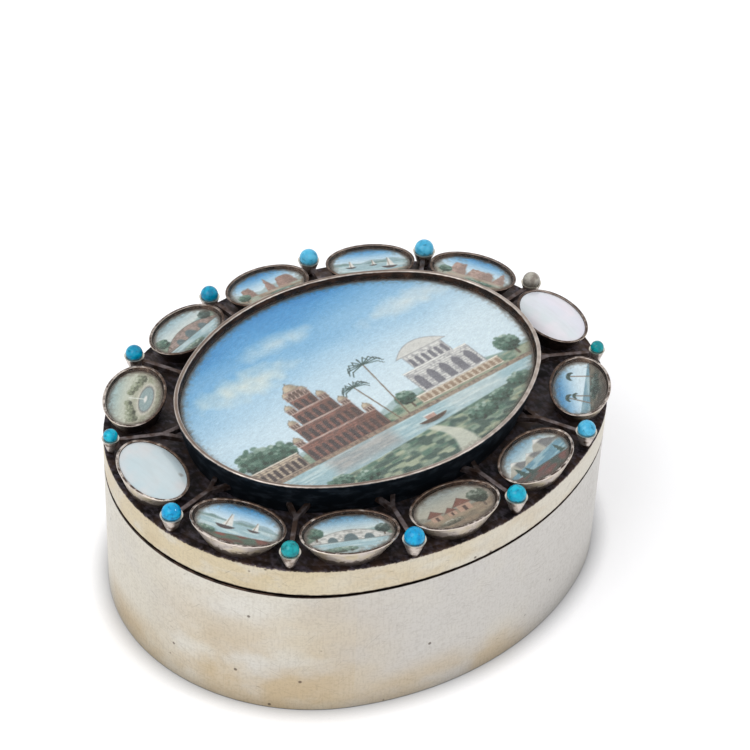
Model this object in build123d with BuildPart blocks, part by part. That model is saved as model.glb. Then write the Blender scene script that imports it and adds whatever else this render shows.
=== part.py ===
from build123d import *
from math import atan, atan2, cos, isclose, pi, sin, tan
import os

# An oval lidded box of silver sheet. The pull-off lid carries a large framed
# picture under glass. Round it stands a ring of small oval settings, with a
# bead in a cup between each pair, and forked wires brace them to the frame.
# Millimetres, +Z up, origin at the centre of the foot of the box, with the
# oval's long axis along X.

# Outline of the box: an oval drawn with four arcs. The tightness says how far the end
# arcs' radius falls below the half width, as a share of half length less half width.
box_half_length = 35.0
box_half_width = 28.9
box_end_tightness = 0.31
edge_rounding = 0.15

# Box
wall_thickness = 1.0
wall_height = 19.9
base_thickness = 1.0

# Collar inside the box, which the lid slides down over
collar_thickness = 0.8
collar_grip = 6.5
lid_side_clearance = 0.15
lid_seat_clearance = 0.05

# Lid
seam_gap = 0.35
lid_band_height = 4.15
lid_band_thickness = 1.0
lid_plate_thickness = 0.9

# Frame of the large picture, flared towards its rim. Its gaps to the settings are in plan.
frame_end_gap = 0.95
frame_side_gap = 0.55
frame_end_tightness = 0.56
frame_height = 5.4
frame_wall = 0.6
frame_flare = 1.4
frame_rim_rounding = 0.22

# Large picture and the glass over it, packed up on card
glass_recess = 0.6
glass_thickness = 0.5
picture_thickness = 0.5

# Ring of small oval settings. They lean out so far that they overhang the ring's own inset
# from the box's side, and each stands a little off its even step, as on the real lid.
setting_count = 12
setting_phase = -0.3
setting_drifts = (0.3, -0.1, -0.4, 0.2, 0.0, 0.8, 1.0, 0.8, -0.1, -0.8, -1.2, -0.3)
setting_gap = 2.1
setting_half_width = 4.15
setting_overhang = 0.35
setting_end_flare = 2.1
setting_side_flare = 0.95
setting_height = 2.8
setting_wall = 0.4
setting_rim_rounding = 0.12

# What the small settings hold: pictures under glass, and two of shell
small_glass_recess = 0.15
small_glass_thickness = 0.3
small_picture_thickness = 0.4
shell_count = 2
shell_edge_recess = 0.15
shell_edge_thickness = 0.8
shell_crown = 0.7

# Beads of uneven size in cups near the lid's edge, each midway between two settings.
# The rise is how far a bead's centre stands above its cup's rim.
bead_inset = 0.75
bead_radii = (1.2, 1.35, 1.3, 1.2, 1.15, 0.95, 1.25, 1.15, 1.3, 1.25, 1.2, 0.9)
bead_rise = 0.35
cup_flare = 0.8
cup_height = 2.4
cup_wall = 0.22
cup_floor = 0.3

# Forked wires from the cups to the frame
wire_width = 0.6
wire_thickness = 0.7
wire_top_height = 2.1
wire_fork_inset = 7.5
wire_leg_angle = 24.0
wire_clearance = 0.03

# Play round what is set inside a frame or a setting
set_clearance = 0.03

# Heights worked out from the sizes above
lid_bottom = wall_height + seam_gap
lid_top = lid_bottom + lid_band_height
lid_underside = lid_top - lid_plate_thickness
collar_top = lid_underside - lid_seat_clearance
collar_bottom = wall_height - collar_grip

# Plan sizes worked out from the sizes above
collar_inset = max(wall_thickness, lid_band_thickness + lid_side_clearance)
setting_inset = setting_half_width - setting_overhang
frame_inset = setting_inset + setting_half_width

box_outline = (box_half_length, box_half_width, box_end_tightness)
frame_outline = (
    box_half_length - frame_inset - frame_end_gap,
    box_half_width - frame_inset - frame_side_gap,
    frame_end_tightness,
)


def oval_arcs(outline, inset=0.0):
    """Centre, radius, start angle and sweep of the four arcs, from the +X end round."""
    half_length, half_width, tightness = outline
    rise = tightness * (half_length - half_width)
    end_radius = half_width - rise
    end_centre = half_length - end_radius
    side_radius = (end_centre**2 + half_width**2 - end_radius**2) / (2 * rise)
    side_centre = side_radius - half_width
    joint = atan2(side_centre, end_centre)
    return [
        ((end_centre, 0), end_radius - inset, -joint, 2 * joint),
        ((0, -side_centre), side_radius - inset, joint, pi - 2 * joint),
        ((-end_centre, 0), end_radius - inset, pi - joint, 2 * joint),
        ((0, side_centre), side_radius - inset, pi + joint, pi - 2 * joint),
    ]


def oval_line(outline, inset=0.0):
    """Closed line of the oval, drawn in by the inset all round."""
    with BuildLine() as line:
        for centre, radius, start, sweep in oval_arcs(outline, inset):
            CenterArc(centre, radius, start * 180 / pi, sweep * 180 / pi)
    return line.wire()


def setting_pitch():
    """Even step from one setting to the next along their ring."""
    ring = oval_arcs(box_outline, setting_inset)
    return sum(radius * sweep for _, radius, _, sweep in ring) / setting_count


def lid_seats(steps, inset):
    """Planes on the lid, X along its side and Y inward, at steps counted in pitches of the
    settings from the +X end. The inset from the box's side says how far in they stand."""
    ring = oval_arcs(box_outline, setting_inset)
    first_half = ring[0][1] * ring[0][3] / 2
    seats = []
    for step in steps:
        travel = (step % setting_count) * setting_pitch() + first_half
        for (centre_x, centre_y), radius, start, sweep in ring + ring[:1]:
            if travel <= radius * sweep:
                break
            travel -= radius * sweep
        turn = start + travel / radius
        reach = radius + setting_inset - inset
        place = (centre_x + reach * cos(turn), centre_y + reach * sin(turn), lid_top)
        seats.append(Plane(origin=place, x_dir=(-sin(turn), cos(turn), 0), z_dir=(0, 0, 1)))
    return seats


def save(piece, name):
    """Label a finished piece and write it as a STEP file of that name."""
    piece.part.label = name
    export_step(piece.part, f"parts/{name}.step")


def outer_edges(ring):
    """Edges round the outside of an upright ring, at its foot and its top."""
    outside = [radius for _, radius, _, _ in oval_arcs(box_outline)]
    arcs = ring.edges().filter_by(GeomType.CIRCLE)
    return [edge for edge in arcs if any(isclose(edge.radius, radius) for radius in outside)]


def make_body_wall():
    """Vertical oval wall of the box."""
    with BuildPart() as wall:
        with BuildSketch(Plane.XY):
            make_face(oval_line(box_outline))
            make_face(oval_line(box_outline, wall_thickness), mode=Mode.SUBTRACT)
        extrude(amount=wall_height)
        fillet(outer_edges(wall), edge_rounding)
    save(wall, "body_wall")


def make_base_plate():
    """Flat bottom, set flush inside the foot of the wall."""
    with BuildPart() as base:
        with BuildSketch(Plane.XY):
            make_face(oval_line(box_outline, wall_thickness))
        extrude(amount=base_thickness)
    save(base, "base_plate")


def make_body_collar():
    """Collar in the box's mouth. Below the rim it meets the wall, above it guides the lid."""
    bore = oval_line(box_outline, collar_inset + collar_thickness)
    with BuildPart() as collar:
        with BuildSketch(Plane.XY.offset(collar_bottom)):
            make_face(oval_line(box_outline, wall_thickness))
            make_face(bore, mode=Mode.SUBTRACT)
        extrude(amount=collar_grip)
        with BuildSketch(Plane.XY.offset(wall_height)):
            make_face(oval_line(box_outline, collar_inset))
            make_face(bore, mode=Mode.SUBTRACT)
        extrude(amount=collar_top - wall_height)
    save(collar, "body_collar")


def make_lid_band():
    """Vertical band round the lid, as deep as the lid."""
    with BuildPart() as band:
        with BuildSketch(Plane.XY.offset(lid_bottom)):
            make_face(oval_line(box_outline))
            make_face(oval_line(box_outline, lid_band_thickness), mode=Mode.SUBTRACT)
        extrude(amount=lid_band_height)
        fillet(outer_edges(band), edge_rounding)
    save(band, "lid_band")


def make_lid_plate():
    """Flat top of the lid, set flush inside the band."""
    with BuildPart() as plate:
        with BuildSketch(Plane.XY.offset(lid_underside)):
            make_face(oval_line(box_outline, lid_band_thickness))
        extrude(amount=lid_plate_thickness)
    save(plate, "lid_plate")


def flared_slab(bottom, top, inset):
    """Solid slice of the picture frame's flared form, between two heights above the lid."""
    with BuildPart() as slab:
        for height in (bottom, top):
            draw_in = frame_flare * (1 - height / frame_height) + inset
            with BuildSketch(Plane.XY.offset(lid_top + height)):
                make_face(oval_line(frame_outline, draw_in))
        loft(ruled=True)
    return slab


def make_picture_frame():
    """Tall flared frame of the large picture, with a rounded rim."""
    form = flared_slab(0, frame_height, 0)
    bore = flared_slab(0, frame_height, frame_wall)
    with BuildPart() as frame:
        add(form)
        add(bore, mode=Mode.SUBTRACT)
        rim = frame.edges().group_by(Axis.Z)[-1]
        fillet(rim, min(frame_rim_rounding, frame_wall * 0.4))
    save(frame, "picture_frame")


def make_large_picture():
    """Packing card, painted panel and glass, one on the other inside the frame."""
    play = frame_wall + set_clearance
    glass_top = frame_height - glass_recess
    glass_bottom = glass_top - glass_thickness
    picture_bottom = glass_bottom - picture_thickness
    save(flared_slab(0, picture_bottom, play), "centre_packing")
    save(flared_slab(picture_bottom, glass_bottom, play), "centre_picture")
    save(flared_slab(glass_bottom, glass_top, play), "centre_glass")


def setting_section(height, inset):
    """Half axes of the flared setting at a height above the lid, drawn in by the inset."""
    share = height / setting_height
    half_length = (setting_pitch() - setting_gap) / 2 - setting_end_flare * (1 - share)
    half_width = setting_half_width - setting_side_flare * (1 - share)
    return half_length - inset, half_width - inset


def setting_slab(seat, bottom, top, inset):
    """Solid slice of a setting's flared form, between two heights above the lid."""
    with BuildPart() as slab:
        for height in (bottom, top):
            with BuildSketch(seat.offset(height)):
                Ellipse(*setting_section(height, inset))
        loft(ruled=True)
    return slab


def make_settings(seats):
    """Flared oval collets, open at top and foot."""
    for number, seat in enumerate(seats, start=1):
        form = setting_slab(seat, 0, setting_height, 0)
        bore = setting_slab(seat, 0, setting_height, setting_wall)
        with BuildPart() as setting:
            add(form)
            add(bore, mode=Mode.SUBTRACT)
            fillet(setting.edges().group_by(Axis.Z)[-1], setting_rim_rounding)
        save(setting, f"setting_{number:02d}")


def make_setting_contents(seats):
    """Small pictures under glass, or a crowned slip of shell, on packing."""
    play = setting_wall + set_clearance
    glass_top = setting_height - small_glass_recess
    glass_bottom = glass_top - small_glass_thickness
    picture_bottom = glass_bottom - small_picture_thickness
    shell_top = setting_height - shell_edge_recess
    shell_bottom = shell_top - shell_edge_thickness
    cards = []
    for number, seat in enumerate(seats, start=1):
        if number % (setting_count // shell_count) == 1:
            cards.append(setting_slab(seat, 0, shell_bottom, play))
            save(shell_slip(seat, shell_bottom, shell_top, play), f"shell_{number:02d}")
        else:
            cards.append(setting_slab(seat, 0, picture_bottom, play))
            save(setting_slab(seat, picture_bottom, glass_bottom, play), f"small_picture_{number:02d}")
            save(setting_slab(seat, glass_bottom, glass_top, play), f"small_glass_{number:02d}")
    with BuildPart() as packings:
        for card in cards:
            add(card)
    save(packings, "setting_packings")


def shell_slip(seat, bottom, edge_top, play):
    """Oval slip of shell, crowned from its edge to its middle."""
    half_length, half_width = setting_section(edge_top, play)
    edge = setting_slab(seat, bottom, edge_top, play)
    with BuildPart() as slip:
        add(edge)
        for share, rise in ((1.0, 0.0), (0.72, 0.7), (0.3, 1.0)):
            with BuildSketch(seat.offset(edge_top + shell_crown * rise)):
                Ellipse(half_length * share, half_width * share)
        loft()
    return slip


def cup_radius(bead_radius, height):
    """Outer radius of a bead's cup at a height above the lid. The bead rests on its taper."""
    taper = atan(cup_flare / cup_height)
    bore_at_rim = bead_radius / cos(taper) - bead_rise * tan(taper) + set_clearance
    return bore_at_rim + cup_wall - cup_flare * (1 - height / cup_height)


def make_bead_cups(seats, radii):
    """Tapered cups with a floor, standing near the lid's edge."""
    with BuildPart() as cups:
        for seat, radius in zip(seats, radii):
            with BuildSketch(Plane(origin=seat.origin, x_dir=seat.x_dir, z_dir=-seat.y_dir)):
                with BuildLine():
                    Polyline(
                        (0, 0),
                        (cup_radius(radius, 0), 0),
                        (cup_radius(radius, cup_height), cup_height),
                        (cup_radius(radius, cup_height) - cup_wall, cup_height),
                        (cup_radius(radius, cup_floor) - cup_wall, cup_floor),
                        (0, cup_floor),
                        close=True,
                    )
                make_face()
            revolve(axis=Axis(seat.origin, seat.z_dir))
    save(cups, "bead_cups")


def make_beads(seats, radii):
    """Round beads, each resting on the taper inside its cup."""
    for number, (seat, radius) in enumerate(zip(seats, radii), start=1):
        with BuildPart(seat.offset(cup_height + bead_rise)) as bead:
            Sphere(radius)
        save(bead, f"bead_{number:02d}")


def make_brace_wires(seats, radii):
    """Forked wires: a stem from each cup between two settings, then two legs to the frame."""
    wire_bottom = wire_top_height - wire_thickness
    fork = wire_fork_inset - bead_inset
    leg_length = 2 * (frame_inset - wire_fork_inset + frame_flare + frame_wall)
    frame_space = flared_slab(0, frame_height, -wire_clearance)
    with BuildPart() as wires:
        for seat, radius in zip(seats, radii):
            stem_start = cup_radius(radius, wire_top_height) + wire_clearance
            with BuildSketch(seat.offset(wire_bottom)):
                with Locations((0, stem_start)):
                    Rectangle(wire_width, fork - stem_start, align=(Align.CENTER, Align.MIN))
                for side in (-1, 1):
                    with Locations(Location((0, fork), side * wire_leg_angle)):
                        Rectangle(wire_width, leg_length, align=(Align.CENTER, Align.MIN))
                with Locations((0, fork)):
                    Circle(wire_width / 2)
            extrude(amount=wire_thickness)
        add(frame_space, mode=Mode.SUBTRACT)
    save(wires, "brace_wires")


os.makedirs("parts", exist_ok=True)
setting_steps = [
    index + setting_phase + setting_drifts[index % len(setting_drifts)] / setting_pitch()
    for index in range(setting_count)
]
next_steps = setting_steps[1:] + [setting_steps[0] + setting_count]
bead_steps = [(step + next_step) / 2 for step, next_step in zip(setting_steps, next_steps)]
setting_seats = lid_seats(setting_steps, setting_inset)
bead_seats = lid_seats(bead_steps, bead_inset)
seat_radii = [bead_radii[index % len(bead_radii)] for index in range(setting_count)]

make_body_wall()
make_base_plate()
make_body_collar()
make_lid_band()
make_lid_plate()
make_picture_frame()
make_large_picture()
make_settings(setting_seats)
make_setting_contents(setting_seats)
make_bead_cups(bead_seats, seat_radii)
make_beads(bead_seats, seat_radii)
make_brace_wires(bead_seats, seat_radii)
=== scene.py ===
import math

import bpy
import numpy as np
from mathutils import Matrix, Vector


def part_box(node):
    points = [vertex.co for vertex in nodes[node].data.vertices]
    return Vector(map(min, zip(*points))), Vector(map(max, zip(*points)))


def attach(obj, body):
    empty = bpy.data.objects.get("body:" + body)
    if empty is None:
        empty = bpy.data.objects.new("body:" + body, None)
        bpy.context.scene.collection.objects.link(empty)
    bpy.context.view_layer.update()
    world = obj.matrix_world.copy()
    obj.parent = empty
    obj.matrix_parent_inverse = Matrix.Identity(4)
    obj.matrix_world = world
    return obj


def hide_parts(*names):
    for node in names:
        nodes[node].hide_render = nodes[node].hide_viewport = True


# An oval silver box whose lid carries a framed picture, a ring of small settings and beads.
# Metres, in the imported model's frame. The pictures are this part's own landscapes.

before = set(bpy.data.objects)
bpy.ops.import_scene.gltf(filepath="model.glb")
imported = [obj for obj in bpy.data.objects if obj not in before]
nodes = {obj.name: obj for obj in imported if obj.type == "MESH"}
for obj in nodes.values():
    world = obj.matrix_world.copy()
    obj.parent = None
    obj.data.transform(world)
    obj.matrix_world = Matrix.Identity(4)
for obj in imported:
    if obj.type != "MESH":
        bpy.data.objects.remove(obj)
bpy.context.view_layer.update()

MM = 0.001

# Camera, as fitted to the photograph
CAMERA_LENS = 122.77
CAMERA_SENSOR = 36.0
CAMERA_AZIMUTH = math.radians(-41.883)
CAMERA_ELEVATION = math.radians(39.038)
CAMERA_ROLL = math.radians(-2.675)
CAMERA_DISTANCE = 361.365 * MM
CAMERA_TARGET = Vector((15.826, 14.730, 12.0)) * MM

# Strengths, places and sizes of the lights
SKY_STRENGTH = 0.82
KEY_STRENGTH = 1.1
KEY_PLACE = (-0.8, -0.05, 0.95)
KEY_SIZE = 0.8
FILL_STRENGTH = 0.28
FILL_PLACE = (0.45, -0.6, 0.8)
FILL_SIZE = 0.12

# Floor, as it lights the object and as it shows
FLOOR_HALF = 3.0
FLOOR_COLOUR = (235, 235, 236)
FLOOR_SEEN = (250, 250, 252)
FLOOR_GLOW = 0.12
CONTACT_REACH = 3 * MM

# Heights and sizes read from the frame
WALL_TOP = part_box("body_wall")[1][2]
SEAM_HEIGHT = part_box("lid_band")[0][2]
LID_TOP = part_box("lid_band")[1][2]
FRAME_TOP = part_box("picture_frame")[1][2]
SETTING_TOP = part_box("setting_01")[1][2]
CUP_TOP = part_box("bead_cups")[1][2]
HALF_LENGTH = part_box("body_wall")[1][0]
HALF_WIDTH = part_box("body_wall")[1][1]

# Heights between which dirt round the feet of the settings and cups fades out
FOOT_GRIME = (LID_TOP + 0.1 * MM, LID_TOP - 0.4 * MM)

# Display colours of the metals
PALE_SILVER = (207, 202, 189)
COOL_SILVER = (196, 193, 188)
TAN_GILT = (190, 170, 136)
CREAM_GILT = (205, 192, 163)
WHITE_SILVER = (218, 218, 214)
SEAM_BROWN = (38, 30, 27)
SCRATCH_GREY = (128, 118, 106)
TARNISH_BLACK = (30, 26, 27)
TARNISH_BROWN = (70, 54, 46)
# Blue-grey laid on as painted shade along the wall's foot and as painted sheen in streaks on the frame's side
BLUE_SHADE_AND_SHEEN = (54, 64, 74)
SHEEN_VIOLET = (98, 92, 104)
RIM_SILVER = (206, 196, 188)
RIM_BROWN = (110, 92, 80)
FRAME_BLACK = (12, 23, 33)
FRAME_BROWN = (84, 58, 44)
WIRE_GREY = (124, 116, 118)

# Display colours of the card, of each stone with its shade, and of each shell with its tints
CARD_BROWN = (150, 132, 104)
CARD_BUFF = (186, 170, 140)
GREY_STONE = ((176, 172, 162), (132, 124, 116))
LIGHT_BLUE_STONE = ((92, 190, 226), (66, 166, 206))
TEAL_STONE = ((6, 156, 192), (0, 122, 160))
BLUE_STONE = ((20, 170, 216), (2, 140, 196))
CYAN_STONE = ((8, 178, 204), (0, 148, 182))
GREEN_STONE = ((14, 160, 166), (4, 124, 132))
LILAC_SHELL = ((216, 215, 227), (208, 216, 220), (230, 219, 227))
GREEN_SHELL = ((182, 200, 206), (194, 206, 210), (206, 202, 202))

# Display colours of the paint
DEEP_SKY = (46, 136, 208)
PALE_SKY = (214, 232, 248)
MILK_SKY = (218, 224, 226)
RED_STONE = (150, 104, 94)
PINK_STONE = (184, 150, 142)
CREAM_STONE = (200, 184, 166)
GREY_WASH = (176, 174, 168)
MARBLE = (226, 226, 228)
DARK_OPENING = (72, 62, 66)
ROOF_RED = (128, 74, 68)
LEAF = (74, 110, 98)
LEAF_DARK = (52, 76, 74)
GRASS = (134, 152, 140)
EARTH = (150, 128, 112)
RIVER = (160, 190, 204)
TRUNK_BROWN = (92, 78, 70)
PALM_BROWN = (120, 100, 86)
GRAIN_GREY = (116, 112, 112)
# Dark and pale brown of the dirt and painted shade round a picture's edge
DARK_DIRT_AND_SHADE = (60, 48, 42)
PALE_DIRT_AND_SHADE = (96, 82, 72)

# Steps across the painted grid of the large picture and of each small one
LARGE_CELLS = 310
SMALL_CELLS = 100

# Air between a painting and the glass over it, so that their faces don't coincide
GLASS_GAP = 0.03 * MM


def linear(colours):
    """Linear light of colours given in display values from 0 to 255."""
    shares = np.asarray(colours) / 255
    return np.where(shares <= 0.04045, shares / 12.92, ((shares + 0.055) / 1.055) ** 2.4)


# Camera, floor and light


def add_camera():
    """Camera at the photograph's viewpoint, with its slight roll."""
    camera = bpy.data.objects.new("camera", bpy.data.cameras.new("camera"))
    camera.data.lens = CAMERA_LENS
    camera.data.sensor_width = CAMERA_SENSOR
    camera.data.clip_start = 10 * MM
    tilt = Matrix.Rotation(math.pi / 2 - CAMERA_ELEVATION, 4, "X")
    turn = Matrix.Rotation(CAMERA_AZIMUTH, 4, "Z") @ tilt @ Matrix.Rotation(-CAMERA_ROLL, 4, "Z")
    place = CAMERA_TARGET + turn.col[2].xyz * CAMERA_DISTANCE
    camera.matrix_world = Matrix.Translation(place) @ turn
    bpy.context.collection.objects.link(camera)
    bpy.context.scene.camera = camera


def seen_directly(tree):
    """Socket that is 1 for rays that show a surface: from the camera, a mirror or glass."""
    path = tree.nodes.new("ShaderNodeLightPath")
    seen = path.outputs["Is Camera Ray"]
    for ray in ("Is Glossy Ray", "Is Transmission Ray"):
        either = tree.nodes.new("ShaderNodeMath")
        either.operation = "MAXIMUM"
        tree.links.new(seen, either.inputs[0])
        tree.links.new(path.outputs[ray], either.inputs[1])
        seen = either.outputs[0]
    return seen


def add_world():
    """Even pale surroundings that show as white behind the object."""
    world = bpy.data.worlds.new("studio")
    world.use_nodes = True
    tree = world.node_tree
    background = tree.nodes["Background"]
    background.inputs["Color"].default_value = (1, 1, 1, 1)
    strength = tree.nodes.new("ShaderNodeMix")
    strength.inputs["A"].default_value = SKY_STRENGTH
    strength.inputs["B"].default_value = 1.0
    tree.links.new(seen_directly(tree), strength.inputs["Factor"])
    tree.links.new(strength.outputs["Result"], background.inputs["Strength"])
    bpy.context.scene.world = world


def add_lamp(name, place, size, strength):
    """Soft square lamp aimed at the middle of the box's foot. The strength is the light it adds
    there."""
    data = bpy.data.lights.new(name, "AREA")
    data.size = size
    place = Vector(place)
    data.energy = strength * math.pi * place.length**2
    lamp = bpy.data.objects.new(name, data)
    lamp.location = place
    lamp.rotation_euler = place.to_track_quat("Z", "Y").to_euler()
    bpy.context.collection.objects.link(lamp)


def add_floor():
    """Plain floor that shows as white and keeps the object's shadow, with painted contact shade from
    an occlusion node where the object meets it. It lights the object as a pale grey one would."""
    mesh = bpy.data.meshes.new("floor")
    corners = [(x * FLOOR_HALF, y * FLOOR_HALF, 0) for x, y in ((-1, -1), (1, -1), (1, 1), (-1, 1))]
    mesh.from_pydata(corners, [], [(0, 1, 2, 3)])
    floor = bpy.data.objects.new("floor", mesh)
    bpy.context.collection.objects.link(floor)
    surface = Surface("floor", Roughness=0.9, Specular_IOR_Level=0.1, Emission_Color=(255, 255, 255))
    seen = seen_directly(surface.tree)
    # Painted contact shade: an occlusion node darkens the floor's colour and glow near the object
    clear = surface.node("AmbientOcclusion", {"Distance": CONTACT_REACH}, samples=8).outputs["AO"]
    shown = surface.mix(clear, (0, 0, 0), FLOOR_SEEN)
    surface.set(Base_Color=surface.mix(seen, FLOOR_COLOUR, shown))
    surface.set(Emission_Strength=surface.product(seen, clear, FLOOR_GLOW))
    mesh.materials.append(surface.material)


# Materials


class Surface:
    """A material drawn by nodes, with short calls for the nodes it is made of."""

    def __init__(self, name, **values):
        self.material = bpy.data.materials.new(name)
        self.material.use_nodes = True
        self.tree = self.material.node_tree
        self.shader = self.tree.nodes["Principled BSDF"]
        coordinates = self.tree.nodes.new("ShaderNodeTexCoord")
        self.place = coordinates.outputs["Object"]
        self.normal = coordinates.outputs["Normal"]
        self.x, self.y, self.z = self.node("SeparateXYZ", {0: self.place}).outputs
        self.set(**values)

    def feed(self, socket, value):
        """Links a node's output to the socket, or writes a plain value on it."""
        if isinstance(value, bpy.types.NodeSocket):
            self.tree.links.new(value, socket)
        elif isinstance(value, tuple) and socket.type == "RGBA":
            socket.default_value = (*linear(value), 1)
        else:
            socket.default_value = value

    def node(self, kind, inputs=None, **settings):
        """New node of a kind, with its settings and inputs."""
        node = self.tree.nodes.new("ShaderNode" + kind)
        for name, value in settings.items():
            setattr(node, name, value)
        for key, value in (inputs or {}).items():
            self.feed(node.inputs[key], value)
        return node

    def set(self, **values):
        """Sets the shader's inputs, named with underscores for spaces."""
        for name, value in values.items():
            self.feed(self.shader.inputs[name.replace("_", " ")], value)

    def math(self, operation, first, second=0.0):
        return self.node("Math", {0: first, 1: second}, operation=operation).outputs[0]

    def product(self, *values):
        result = values[0]
        for value in values[1:]:
            result = self.math("MULTIPLY", result, value)
        return result

    def plus(self, value, field, amount):
        """Value with an amount of a field added to it."""
        return self.math("ADD", value, self.product(field, amount))

    def spread(self, value, low, high):
        """Smooth step from 0 at low to 1 at high. High may be the lower of the two."""
        inputs = {"Value": value, "From Min": low, "From Max": high}
        return self.node("MapRange", inputs, interpolation_type="SMOOTHSTEP").outputs["Result"]

    def noise(self, size, stretch=(1, 1, 1), detail=2.0, shift=0.0):
        """Noise of a feature size in millimetres, about 0.5 on average, stretched along axes."""
        scale = Vector(1 / (size * MM * s) for s in stretch)
        mapped = self.node("Mapping", {"Vector": self.place, "Scale": scale, "Location": (shift,) * 3})
        inputs = {"Vector": mapped.outputs[0], "Scale": 1.0, "Detail": detail}
        return self.node("TexNoise", inputs).outputs[0]

    def specks(self, size, reach, shift=0.0):
        """1 in scattered specks: points a size apart in space, as wide as the reach, both in mm."""
        mapped = self.node("Mapping", {"Vector": self.place, "Location": (shift,) * 3})
        inputs = {"Vector": mapped.outputs[0], "Scale": 1 / (size * MM)}
        distance = self.node("TexVoronoi", inputs).outputs["Distance"]
        return self.spread(distance, reach / size, reach / size / 2)

    def patches(self, size, low, high, **shape):
        """Soft patches of a size in mm: 0 where their noise is at low and 1 where it is at high."""
        return self.spread(self.noise(size, **shape), low, high)

    def scratches(self, length, width, lean, scarce):
        """1 on scattered thin marks of a length and width in mm, leaning by an angle to the level.
        They get scarcer as scarce nears 1."""
        size = (length * MM, length * MM, width * MM)
        inputs = {"Vector": self.place, "Rotation": (lean, lean, 0), "Scale": size}
        mapped = self.node("Mapping", inputs, vector_type="TEXTURE").outputs[0]
        field = self.node("TexNoise", {"Vector": mapped, "Scale": 1.0, "Detail": 0.0}).outputs[0]
        return self.spread(field, scarce, scarce + 0.06)

    def mix(self, share, first, second):
        """Colour that goes from the first to the second as the share goes from 0 to 1."""
        return self.node("Mix", {0: share, 6: first, 7: second}, data_type="RGBA").outputs[2]

    def over(self, colour, field, strength, paint):
        """Colour with a paint laid over it where a field is 1, at a strength."""
        return self.mix(self.product(field, strength), colour, paint)

    def finished(self, colour, height=None, depth=0.0, **values):
        """The material with its colour and other inputs, raised by a height, from 0 to 1, times a
        depth in millimetres."""
        self.set(Base_Color=colour, **values)
        if height is not None:
            inputs = {"Height": height, "Distance": depth * MM, "Strength": 1.0}
            self.set(Normal=self.node("Bump", inputs).outputs[0])
        return self.material

    def upright(self):
        """How far the surface faces up, from -1 to 1."""
        return self.node("SeparateXYZ", {0: self.normal}).outputs[2]

    def outward(self):
        """How far the surface faces away from the box's middle, seen in plan, from -1 to 1."""
        along = self.math("DIVIDE", self.x, HALF_LENGTH**2)
        across = self.math("DIVIDE", self.y, HALF_WIDTH**2)
        return self.facing(self.node("CombineXYZ", {0: along, 1: across}).outputs[0])

    def oval_share(self):
        """Square of the place's reach across the box, 1 at its side."""
        along = self.product(self.x, self.x, HALF_LENGTH**-2)
        return self.math("ADD", along, self.product(self.y, self.y, HALF_WIDTH**-2))

    def outward_from(self, middle):
        """How far the surface faces away from an upright line through a point, from -1 to 1."""
        arm = self.node("VectorMath", {0: self.place, 1: middle}, operation="SUBTRACT").outputs[0]
        level = self.node("VectorMath", {0: arm, 1: (1, 1, 0)}, operation="MULTIPLY").outputs[0]
        return self.facing(level)

    def facing(self, direction):
        """How far the surface faces a direction, from -1 to 1."""
        unit = self.node("VectorMath", {0: direction}, operation="NORMALIZE").outputs[0]
        dot = self.node("VectorMath", {0: unit, 1: self.normal}, operation="DOT_PRODUCT")
        return dot.outputs["Value"]

    def stain(self, place, reach):
        """1 within a soft ragged spot round a place in plan, at any height, all in millimetres."""
        plan = self.node("CombineXYZ", {0: self.x, 1: self.y}).outputs[0]
        centre = (place[0] * MM, place[1] * MM, 0)
        gap = self.node("VectorMath", {0: plan, 1: centre}, operation="DISTANCE").outputs["Value"]
        ragged = self.plus(gap, self.noise(0.6, detail=4), reach * MM)
        return self.spread(ragged, 1.5 * reach * MM, 0.6 * reach * MM)


def fine_wear(surface, colour, strength):
    """Fine speckle, hairlines both ways, scratches in all directions and sparse dark pits."""
    speckle = surface.noise(0.34, detail=5)
    level = surface.noise(0.16, stretch=(9, 9, 1), shift=3.1)
    upright = surface.noise(0.16, stretch=(1, 1, 12), shift=6.4)
    crossed = surface.math("MAXIMUM", level, upright)
    wear = surface.spread(surface.math("ADD", speckle, crossed), 0.92, 1.3)
    colour = surface.over(colour, wear, strength, SCRATCH_GREY)
    kinds = ((4.0, 0.1, 0.35, 0.78), (3.0, 0.1, -0.6, 0.79), (1.0, 0.2, 0.2, 0.83))
    for length, width, lean, scarce in kinds:
        marks = surface.scratches(length, width, lean, scarce)
        colour = surface.over(colour, marks, 0.4, SCRATCH_GREY)
    return surface.over(colour, surface.specks(4.2, 0.3), 0.75, TARNISH_BROWN), wear


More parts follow.
